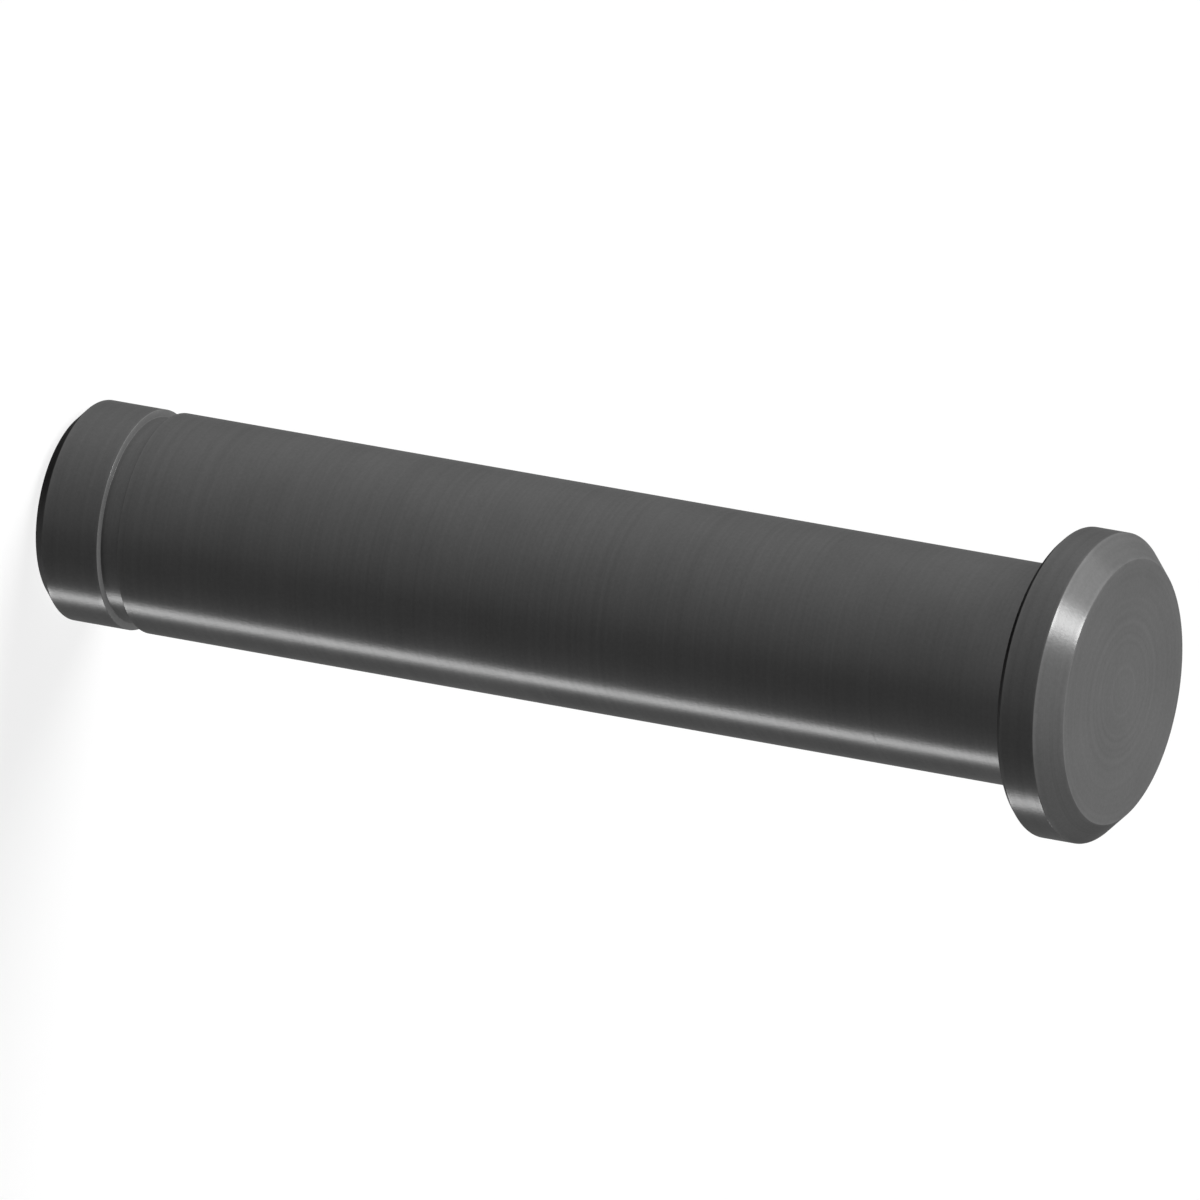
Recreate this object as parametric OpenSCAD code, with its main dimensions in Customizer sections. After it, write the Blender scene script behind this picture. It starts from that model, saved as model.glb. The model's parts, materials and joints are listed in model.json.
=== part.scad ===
// Headed pivot pin, turned in one piece from round bar.
// The plain shank carries the parts that pivot, the head stops them at one end,
// and a retaining ring in the groove near the tail keeps them on at the other.
// The pin stands on its tail end: its axis is Z, the head is up,
// and the origin is at the middle of the tail's flat face.

/* [Shank] */
// Diameter of the plain shank, which is the bearing surface
shank_d = 7.94; // [6:0.01:9]
// Length of the grip, from the underside of the head to the groove
grip_l = 35.45; // [8:0.05:90]
// Length of the land, from the groove to the tail's flat face
land_l = 2.7; // [1.2:0.05:8]
// Chamfer that leads the tail into its hole, measured along each side
tail_chamfer = 0.5; // [0.1:0.05:1]

/* [Head] */
// Diameter of the head
head_d = 11.1; // [10.5:0.05:16]
// Height of the head
head_h = 2.3; // [1.5:0.05:6]
// Wide chamfer round the head's outer face, measured along each side
face_chamfer = 0.8; // [0.1:0.05:1.1]
// Small chamfer round the edge of the head's underside, measured along each side
rear_chamfer = 0.2; // [0.05:0.05:0.3]
// Radius of the fillet where the shank runs into the head
fillet_r = 0.2; // [0.1:0.05:0.4]

/* [Ring groove] */
// Width of the groove, along the pin
groove_w = 0.8; // [0.5:0.05:1.6]
// Depth of the groove below the surface of the shank
groove_depth = 0.27; // [0.1:0.01:0.6]

/* [Hidden] */

shank_r = shank_d / 2;
head_r = head_d / 2;
groove_r = shank_r - groove_depth;

// Heights above the tail's flat face
groove_z = land_l;
grip_z = groove_z + groove_w;
head_z = grip_z + grip_l;

// The groove's cut runs this far out past the shank, into the air
cut_clearance = 1;

$fn = 96;

// Each section below is half of a cut through the axis: X is the radius and Y is the height.

// The shank with its lead-in chamfer, up to the underside of the head
module shank_section() {
    polygon([
        [0, 0],
        [shank_r - tail_chamfer, 0],
        [shank_r, tail_chamfer],
        [shank_r, head_z],
        [0, head_z]
    ]);
}

// The head, with its small chamfer below and its wide one above
module head_section() {
    translate([0, head_z])
        polygon([
            [0, 0],
            [head_r - rear_chamfer, 0],
            [head_r, rear_chamfer],
            [head_r, head_h - face_chamfer],
            [head_r - face_chamfer, head_h],
            [0, head_h]
        ]);
}

// The concave fillet in the corner between the shank and the head
module fillet_section() {
    translate([shank_r, head_z - fillet_r])
        difference() {
            square(fillet_r);
            translate([fillet_r, 0])
                circle(fillet_r);
        }
}

// The square-cornered groove that the retaining ring snaps into
module groove_section() {
    translate([groove_r, groove_z])
        square([groove_depth + cut_clearance, groove_w]);
}

module pivot_pin() {
    color("dimgray")
        rotate_extrude()
            difference() {
                union() {
                    shank_section();
                    head_section();
                    fillet_section();
                }
                groove_section();
            }
}

pivot_pin();
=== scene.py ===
"""The headed pivot pin as it is photographed: turned and blackened steel on a white table."""
import json
import math

import bmesh
import bpy
from mathutils import Matrix, Vector


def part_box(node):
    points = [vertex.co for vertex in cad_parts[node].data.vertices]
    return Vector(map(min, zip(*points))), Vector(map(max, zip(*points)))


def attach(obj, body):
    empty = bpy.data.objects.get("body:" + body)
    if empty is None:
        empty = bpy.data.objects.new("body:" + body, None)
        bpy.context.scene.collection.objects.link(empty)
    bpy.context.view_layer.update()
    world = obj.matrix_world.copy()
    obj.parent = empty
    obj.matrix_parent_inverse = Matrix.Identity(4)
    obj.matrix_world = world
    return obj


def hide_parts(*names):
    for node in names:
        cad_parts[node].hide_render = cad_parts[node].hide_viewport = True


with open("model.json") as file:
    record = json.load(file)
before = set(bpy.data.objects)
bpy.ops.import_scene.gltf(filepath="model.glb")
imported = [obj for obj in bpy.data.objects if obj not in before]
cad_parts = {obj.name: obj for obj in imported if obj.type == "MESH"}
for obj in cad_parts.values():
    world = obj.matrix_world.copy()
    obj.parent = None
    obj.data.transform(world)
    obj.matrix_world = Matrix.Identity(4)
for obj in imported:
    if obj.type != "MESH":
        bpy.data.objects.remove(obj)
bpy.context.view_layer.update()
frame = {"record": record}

MM = 0.001

# The pin's sizes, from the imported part
MOUNTS = {mount["name"]: mount for mount in frame["record"]["mounts"]}
SHANK_R = MOUNTS["shank"]["dims"]["r_mm"] * MM
GROOVE_R = MOUNTS["ring_groove"]["dims"]["r_mm"] * MM
GROOVE_MID = MOUNTS["ring_groove"]["pos_m"][2]
GROOVE_HALF = MOUNTS["ring_groove"]["dims"]["length_mm"] * MM / 2
HEAD_Z = MOUNTS["head_underside"]["pos_m"][2]
HEAD_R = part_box("pivot_pin")[1].x
TOP_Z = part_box("pivot_pin")[1].z

# Sizes that the record doesn't give, as in the part's source
TAIL_CHAMFER = 0.5 * MM
FACE_CHAMFER = 0.8 * MM
REAR_CHAMFER = 0.2 * MM
HEAD_FILLET = 0.2 * MM

# Fine edges that only show close up. A ring groove is cut with sharp corners, so they are small
EDGE_BREAK = 0.02 * MM
GROOVE_ROOT = 0.02 * MM

# The turned form from the tail end up to the head's face, as the radius and height of each ring
# where two surfaces meet
TAIL_R = SHANK_R - TAIL_CHAMFER
GROOVE_LOW = GROOVE_MID - GROOVE_HALF
GROOVE_HIGH = GROOVE_MID + GROOVE_HALF
PROFILE = [
    (TAIL_R, 0),
    (SHANK_R, TAIL_CHAMFER),
    (SHANK_R, GROOVE_LOW),
    (GROOVE_R, GROOVE_LOW),
    (GROOVE_R, GROOVE_HIGH),
    (SHANK_R, GROOVE_HIGH),
    (SHANK_R, HEAD_Z),
    (HEAD_R - REAR_CHAMFER, HEAD_Z),
    (HEAD_R, HEAD_Z + REAR_CHAMFER),
    (HEAD_R, TOP_Z - FACE_CHAMFER),
    (HEAD_R - FACE_CHAMFER, TOP_Z),
]
GROOVE_CORNERS = [(GROOVE_R, GROOVE_LOW), (GROOVE_R, GROOVE_HIGH)]
HEAD_CORNER = [(SHANK_R, HEAD_Z)]
INNER_CORNERS = GROOVE_CORNERS + HEAD_CORNER
OUTER_EDGES = [ring for ring in PROFILE if ring not in INNER_CORNERS]

# Sides of the turned form, enough for a smooth outline at any size it is shown
SIDES = 256
# Steps in the rounding of the fillet, and of each fine edge
FILLET_STEPS = 8
EDGE_STEPS = 3

# The finish, with lengths in millimetres. The film is a neutral dark grey
FILM_GREY = "#676767"
FILM_METAL = 0.13
FILM_ROUGHNESS = 0.25
# How much of the shine is left where the surface turns away from the eye
FILM_EDGE_SHINE = 0.3
# The lathe's feed is about 0.1 mm a turn, drawn twice as coarse so that it shows
MARK_PITCH = 0.2
# How far a mark goes before it changes
MARK_LENGTH = 25
MARK_TONE = 0.06
# The film's crystals are a few microns across, drawn as coarse as a picture can show
GRAIN_SIZE = 0.12
GRAIN_TONE = 0.04
# The depth of the marks, and how much of it the crystals have
MARK_DEPTH = 0.006 * MM
GRAIN_SHARE = 0.3
# The clouds that the salt bath leaves, in the tone and in the roughness
CLOUD_SIZE = 3
CLOUD_TONE = 0.06
CLOUD_ROUGHNESS = 0.02
# The values between which a fine pattern and a cloudy one nearly always lie
FINE_SPAN = (0.25, 0.75)
CLOUD_SPAN = (0.2, 0.8)
# Handling thins the film along an edge, which is then a little lighter and smoother. The worn band
# is about this wide, and in patches nearly gone or twice as wide
WEAR_WIDTH = 0.12
WEAR_LEAST = 0.03
WEAR_PATCH = 0.9
WEAR_TONE = 0.14
WEAR_ROUGHNESS = -0.03
# Painted shade: the inner corners, at the groove and under the head, are drawn darker
CORNER_SHADE_WIDTH = 0.18
CORNER_SHADE_TONE = 0.08

# The photograph is 1200 pixels wide, and the shank is 224.8 pixels across in it
PHOTO_SIDE = 1200
PHOTO_SHANK = 224.8
# The pin's axis leans out of the picture towards the eye, and runs down to the right
LEAN = math.radians(25)
SLOPE = math.radians(10)
# The place that is at the middle of the picture, about half a pixel beside the axis
AIM = Vector((0.016, 0, 20.66)) * MM
# The photograph has no perspective, so the lens is a very long one
LENS = 1500
# How far the camera draws, in metres, which is well past the table
FAR = 10

# The room's even light, and the table top: its side in metres, its colour and its own glow where it
# is seen, and its colour for the light that it throws on the pin
ROOM_LIGHT = 0.01
TABLE_SIDE = 6
TABLE_WHITE = "#e6e6e6"
TABLE_GLOW = 0.16
TABLE_DIM = "#262626"


def linear(code):
    """An sRGB hex colour as the linear colour that shaders take."""
    parts = [int(code[i : i + 2], 16) / 255 for i in (1, 3, 5)]
    return [p / 12.92 if p <= 0.04045 else ((p + 0.055) / 1.055) ** 2.4 for p in parts] + [1.0]


def add(tree, kind, inputs=None, **settings):
    """Adds a shader node. A socket given for an input is linked, and anything else is its value."""
    made = tree.nodes.new("ShaderNode" + kind)
    for name, value in settings.items():
        setattr(made, name, value)
    for name, value in (inputs or {}).items():
        if isinstance(value, bpy.types.NodeSocket):
            tree.links.new(value, made.inputs[name])
        else:
            made.inputs[name].default_value = value
    return made


def empty_material(name):
    made = bpy.data.materials.new(name)
    made.use_nodes = True
    made.node_tree.nodes.clear()
    return made


# Camera

def picture_axes():
    """The picture's right, its up, and the way back to the eye, as directions of the frame."""
    eye = Vector((0, -math.cos(LEAN), math.sin(LEAN)))
    level = Vector((1, 0, 0))
    upright = Vector((0, math.sin(LEAN), math.cos(LEAN)))
    right = math.cos(SLOPE) * upright - math.sin(SLOPE) * level
    up = -math.sin(SLOPE) * upright - math.cos(SLOPE) * level
    return right, up, eye


def place_camera():
    """Looks down on the standing pin, rolled so that it lies across the picture as in the photograph."""
    right, up, eye = picture_axes()
    lens = bpy.data.cameras.new("camera")
    lens.lens = LENS
    picture_width = PHOTO_SIDE / PHOTO_SHANK * 2 * SHANK_R
    distance = picture_width * LENS / lens.sensor_width
    lens.clip_end = FAR
    camera = bpy.data.objects.new("camera", lens)
    bpy.context.scene.collection.objects.link(camera)
    turn = Matrix((right, up, eye)).transposed().to_4x4()
    camera.matrix_world = Matrix.Translation(AIM + eye * distance) @ turn
    bpy.context.scene.camera = camera


# The pin

def select_ring(mesh, radius, height):
    """Adds the edges of one ring of the turned form to the selection."""
    near = 0.001 * MM
    for edge in mesh.edges:
        if all(
            abs(v.co.z - height) < near and abs(v.co.xy.length - radius) < near for v in edge.verts
        ):
            edge.select_set(True)


def bevel_rings(piece, rings, width, steps):
    """Rounds the edges of some rings, each given as its radius and height, in a number of steps."""
    bpy.ops.mesh.select_all(action="DESELECT")
    mesh = bmesh.from_edit_mesh(piece.data)
    for radius, height in rings:
        select_ring(mesh, radius, height)
    bmesh.update_edit_mesh(piece.data)
    bpy.ops.mesh.bevel(offset=width, segments=steps, profile=0.5, affect="EDGES")


def keep_faces_flat(piece):
    """Turns the shading of each edge's rounding into the faces beside it, and leaves those flat.

    The modifier leaves faces as small as the pin's out of its sums, so it works on the piece at a
    thousand times its size.
    """
    piece.scale = (1 / MM, 1 / MM, 1 / MM)
    bpy.ops.object.transform_apply(location=False, rotation=False, scale=True)
    weigh = piece.modifiers.new("flat_faces_stay_flat", "WEIGHTED_NORMAL")
    # The highest weight, at which the largest face beside an edge counts for nearly all
    weigh.weight = 100
    bpy.ops.object.modifier_apply(modifier=weigh.name)
    piece.scale = (MM, MM, MM)
    bpy.ops.object.transform_apply(location=False, rotation=False, scale=True)


def turn_pin():
    """Turns the pin from its tail end up: each step lifts the end face to a height and sets its radius.

    It starts from a cylinder as high as the tail's chamfer, so the first step only spreads the face.
    """
    steps = PROFILE[1:]
    bpy.ops.object.select_all(action="DESELECT")
    bpy.ops.mesh.primitive_cylinder_add(
        vertices=SIDES, radius=TAIL_R, depth=TAIL_CHAMFER, location=(0, 0, TAIL_CHAMFER / 2)
    )
    piece = bpy.context.object
    piece.name = piece.data.name = "turned_pin"
    bpy.ops.object.transform_apply(location=True, rotation=True, scale=True)
    bpy.ops.object.mode_set(mode="EDIT")
    bpy.ops.mesh.select_mode(type="FACE")
    bpy.ops.mesh.select_all(action="DESELECT")
    mesh = bmesh.from_edit_mesh(piece.data)
    # Of the cylinder's faces, only the upper end looks straight up
    for face in mesh.faces:
        face.select_set(face.normal.z > 0.99)
    bmesh.update_edit_mesh(piece.data)
    at_r, at_z = TAIL_R, TAIL_CHAMFER
    for radius, height in steps:
        if (radius, height) != steps[0]:
            lift = (0, 0, height - at_z)
            bpy.ops.mesh.extrude_region_move(TRANSFORM_OT_translate={"value": lift})
        spread = radius / at_r
        bpy.ops.transform.resize(value=(spread, spread, 1), center_override=(0, 0, height))
        at_r, at_z = radius, height
    bpy.ops.mesh.select_mode(type="EDGE")
    bevel_rings(piece, HEAD_CORNER, HEAD_FILLET, FILLET_STEPS)
    bevel_rings(piece, GROOVE_CORNERS, GROOVE_ROOT, EDGE_STEPS)
    bevel_rings(piece, OUTER_EDGES, EDGE_BREAK, EDGE_STEPS)
    bpy.ops.mesh.select_all(action="DESELECT")
    bpy.ops.object.mode_set(mode="OBJECT")
    bpy.ops.object.shade_smooth()
    keep_faces_flat(piece)
    return piece


def nearest_ring(tree, profile, rings):
    """How far a place on the surface is from the nearest of some rings, in millimetres."""
    nearest = None
    for radius, height in rings:
        ring = (radius / MM, height / MM, 0)
        away = add(tree, "VectorMath", {0: profile, 1: ring}, operation="DISTANCE").outputs["Value"]
        if nearest is None:
            nearest = away
        else:
            nearest = add(tree, "Math", {0: nearest, 1: away}, operation="MINIMUM").outputs[0]
    return nearest


def turned_black_oxide():
    """Free-cutting steel, turned in a lathe, then blackened in hot oxide salts and dipped in oil.

    The film is a thin dark grey that keeps the lathe's marks. It looks matt in even light and still
    gives a lamp a clear, slightly drawn-out highlight. It has no clear coat on it, so it doesn't
    turn bright towards its edges as paint does.
    """
    material = empty_material("turned_black_oxide_steel")
    tree = material.node_tree

    # The place on the pin in millimetres, and in the pin's profile its radius and height
    place = add(tree, "TexCoord").outputs["Object"]
    in_mm = add(tree, "VectorMath", {0: place, "Scale": 1 / MM}, operation="SCALE").outputs[0]
    flat = add(tree, "VectorMath", {0: in_mm, 1: (1, 1, 0)}, operation="MULTIPLY").outputs[0]
    radius = add(tree, "VectorMath", {0: flat}, operation="LENGTH").outputs["Value"]
    axes = add(tree, "SeparateXYZ", {0: in_mm}).outputs
    profile = add(tree, "CombineXYZ", {"X": radius, "Y": axes["Z"]}).outputs[0]

    # The tool's marks run round the axis, so they are close along the profile and long round it
    fine_r = add(tree, "Math", {0: radius, 1: 1 / MARK_PITCH}, operation="MULTIPLY").outputs[0]
    fine_z = add(tree, "Math", {0: axes["Z"], 1: 1 / MARK_PITCH}, operation="MULTIPLY").outputs[0]
    slow_x = add(tree, "Math", {0: axes["X"], 1: 1 / MARK_LENGTH}, operation="MULTIPLY").outputs[0]
    slow_y = add(tree, "Math", {0: axes["Y"], 1: 1 / MARK_LENGTH}, operation="MULTIPLY").outputs[0]
    round_axis = add(tree, "CombineXYZ", {"X": fine_r, "Y": fine_z, "Z": slow_x}).outputs[0]
    marks = add(
        tree,
        "TexNoise",
        {"Vector": round_axis, "W": slow_y, "Scale": 1.0, "Detail": 2.0, "Roughness": 0.6},
        noise_dimensions="4D",
    ).outputs[0]

    # The crystals of the film, the cloudy tone that the salt bath leaves, and the patches of wear
    grain = add(tree, "TexNoise", {"Vector": in_mm, "Scale": 1 / GRAIN_SIZE, "Detail": 1.0}).outputs[0]
    cloud = add(tree, "TexNoise", {"Vector": in_mm, "Scale": 1 / CLOUD_SIZE, "Detail": 2.0}).outputs[0]
    patch = add(tree, "TexNoise", {"Vector": in_mm, "Scale": 1 / WEAR_PATCH, "Detail": 3.0}).outputs[0]

    # Wear is 1 on an outer edge and fades out in patches, and the painted corner shade is 1 in an inner
    # corner
    from_edge = nearest_ring(tree, profile, OUTER_EDGES)
    reach = add(
        tree,
        "MapRange",
        {
            "Value": patch,
            "From Min": 0.3,
            "From Max": 0.7,
            "To Min": WEAR_LEAST,
            "To Max": 2 * WEAR_WIDTH,
        },
    ).outputs[0]
    wear = add(
        tree,
        "MapRange",
        {"Value": from_edge, "From Min": 0.0, "From Max": reach, "To Min": 1.0, "To Max": 0.0},
    ).outputs[0]
    # Painted shade in the inner corners, darkest in the corner and fading out over a short width
    from_corner = nearest_ring(tree, profile, INNER_CORNERS)
    corner_shade = add(
        tree,
        "MapRange",
        {"Value": from_corner, "From Min": 0.0, "From Max": CORNER_SHADE_WIDTH, "To Min": 1.0, "To Max": 0.0},
        interpolation_type="SMOOTHSTEP",
    ).outputs[0]

    # The tone is the film's grey times what each pattern makes of it, here the pattern's span and the
    # shares of the tone at the span's two ends
    patterns = [
        (cloud, CLOUD_SPAN, 1 - CLOUD_TONE, 1 + CLOUD_TONE),
        (marks, FINE_SPAN, 1 - MARK_TONE, 1 + MARK_TONE),
        (grain, FINE_SPAN, 1 - GRAIN_TONE, 1 + GRAIN_TONE),
        (wear, (0.0, 1.0), 1.0, 1 + WEAR_TONE),
        (corner_shade, (0.0, 1.0), 1.0, 1 - CORNER_SHADE_TONE),
    ]
    tone = 1.0
    for pattern, span, at_low, at_high in patterns:
        step = add(
            tree,
            "MapRange",
            {
                "Value": pattern,
                "From Min": span[0],
                "From Max": span[1],
                "To Min": at_low,
                "To Max": at_high,
            },
        ).outputs[0]
        tone = add(tree, "Math", {0: tone, 1: step}, operation="MULTIPLY").outputs[0]
    grey = linear(FILM_GREY)[:3]
    colour = add(tree, "VectorMath", {0: grey, "Scale": tone}, operation="SCALE").outputs[0]

    # Cloudy gloss, and a little more of it where the film is rubbed
    gloss = add(
        tree,
        "MapRange",
        {
            "Value": cloud,
            "From Min": CLOUD_SPAN[0],
            "From Max": CLOUD_SPAN[1],
            "To Min": FILM_ROUGHNESS - CLOUD_ROUGHNESS,
            "To Max": FILM_ROUGHNESS + CLOUD_ROUGHNESS,
        },
    ).outputs[0]
    rubbed = add(
        tree,
        "Math",
        {0: wear, 1: WEAR_ROUGHNESS, 2: gloss},
        operation="MULTIPLY_ADD",
    ).outputs[0]
    height = add(tree, "Math", {0: grain, 1: GRAIN_SHARE, 2: marks}, operation="MULTIPLY_ADD").outputs[0]
    relief = add(tree, "Bump", {"Height": height, "Distance": MARK_DEPTH, "Strength": 1.0})

    # All the shine is the metallic share's, since any other shine would grow towards the edges
    shader = add(
        tree,
        "BsdfPrincipled",
        {
            "Base Color": colour,
            "Metallic": FILM_METAL,
            "Roughness": rubbed,
            "Specular IOR Level": 0.0,
            "Specular Tint": (FILM_EDGE_SHINE, FILM_EDGE_SHINE, FILM_EDGE_SHINE, 1.0),
            "Normal": relief.outputs["Normal"],
        },
    )
    add(tree, "OutputMaterial", {"Surface": shader.outputs["BSDF"]})
    return material


def make_pin():
    pin = turn_pin()
    pin.data.materials.clear()
    pin.data.materials.append(turned_black_oxide())
    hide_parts("pivot_pin")
    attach(pin, "root")


# Table and light

def seen_directly(tree):
    """1 for what the eye sees, also in a reflection or through glass, and 0 for light that bounces."""
    path = add(tree, "LightPath")
    mirrored = add(
        tree,
        "Math",
        {0: path.outputs["Is Camera Ray"], 1: path.outputs["Is Glossy Ray"]},
        operation="MAXIMUM",
    )
    either = add(
        tree,
        "Math",
        {0: mirrored.outputs[0], 1: path.outputs["Is Transmission Ray"]},
        operation="MAXIMUM",
    )
    return either.outputs[0]


def light_world():
    """White where it is seen, and a weak even light on the object."""
    world = bpy.data.worlds.new("studio")
    world.use_nodes = True
    tree = world.node_tree
    tree.nodes.clear()
    room = add(tree, "Background", {"Color": linear("#ffffff"), "Strength": ROOM_LIGHT})
    white = add(tree, "Background", {"Color": linear("#ffffff"), "Strength": 1.0})
    mixed = add(
        tree,
        "MixShader",
        {0: seen_directly(tree), 1: room.outputs[0], 2: white.outputs[0]},
    )
    add(tree, "OutputWorld", {"Surface": mixed.outputs[0]})
    bpy.context.scene.world = world


def lay_floor():
    """A white table top that keeps the pin's shadow. It throws little light back on the pin."""
    bpy.ops.object.select_all(action="DESELECT")
    bpy.ops.mesh.primitive_plane_add(size=TABLE_SIDE)
    floor = bpy.context.object
    floor.name = "floor"
    material = empty_material("white_table")
    tree = material.node_tree
    lit = add(tree, "BsdfDiffuse", {"Color": linear(TABLE_WHITE)})
    glow = add(tree, "Emission", {"Color": linear("#ffffff"), "Strength": TABLE_GLOW})
    bright = add(tree, "AddShader", {0: lit.outputs[0], 1: glow.outputs[0]})
    dim = add(tree, "BsdfDiffuse", {"Color": linear(TABLE_DIM)})
    mixed = add(
        tree,
        "MixShader",
        {0: seen_directly(tree), 1: dim.outputs[0], 2: bright.outputs[0]},
    )
    add(tree, "OutputMaterial", {"Surface": mixed.outputs[0]})
    floor.data.materials.append(material)


def hang_lamp(name, towards, strength, width, shadow=False):
    """A far lamp in a direction of the frame, with its width as the angle that it fills, in degrees."""
    data = bpy.data.lights.new(name, "SUN")
    data.energy = strength
    data.angle = math.radians(width)
    data.use_shadow = shadow
    lamp = bpy.data.objects.new(name, data)
    lamp.rotation_mode = "QUATERNION"
    lamp.rotation_quaternion = Vector(towards).to_track_quat("Z", "Y")
    bpy.context.scene.collection.objects.link(lamp)


place_camera()
make_pin()
light_world()
lay_floor()
hang_lamp("key_lamp", (-0.50, -0.26, 0.83), 3.24, 16)
hang_lamp("soft_box", (-0.70, 0.18, 0.69), 0.95, 35, shadow=True)
# The photograph has its long highlight on the side that faces down, so this lamp is below the table
hang_lamp("rim_lamp", (0.863, 0.257, -0.433), 1.28, 11)
# Each of these gives a long highlight to a view from the front, a side or the back
hang_lamp("side_lamp", (-0.98, 0.17, -0.05), 0.2, 10)
hang_lamp("back_lamp", (0.41, 0.87, -0.26), 0.9, 10)
hang_lamp("back_side_lamp", (0.86, 0.50, -0.05), 0.6, 10)

bpy.context.scene.view_settings.view_transform = "Standard"
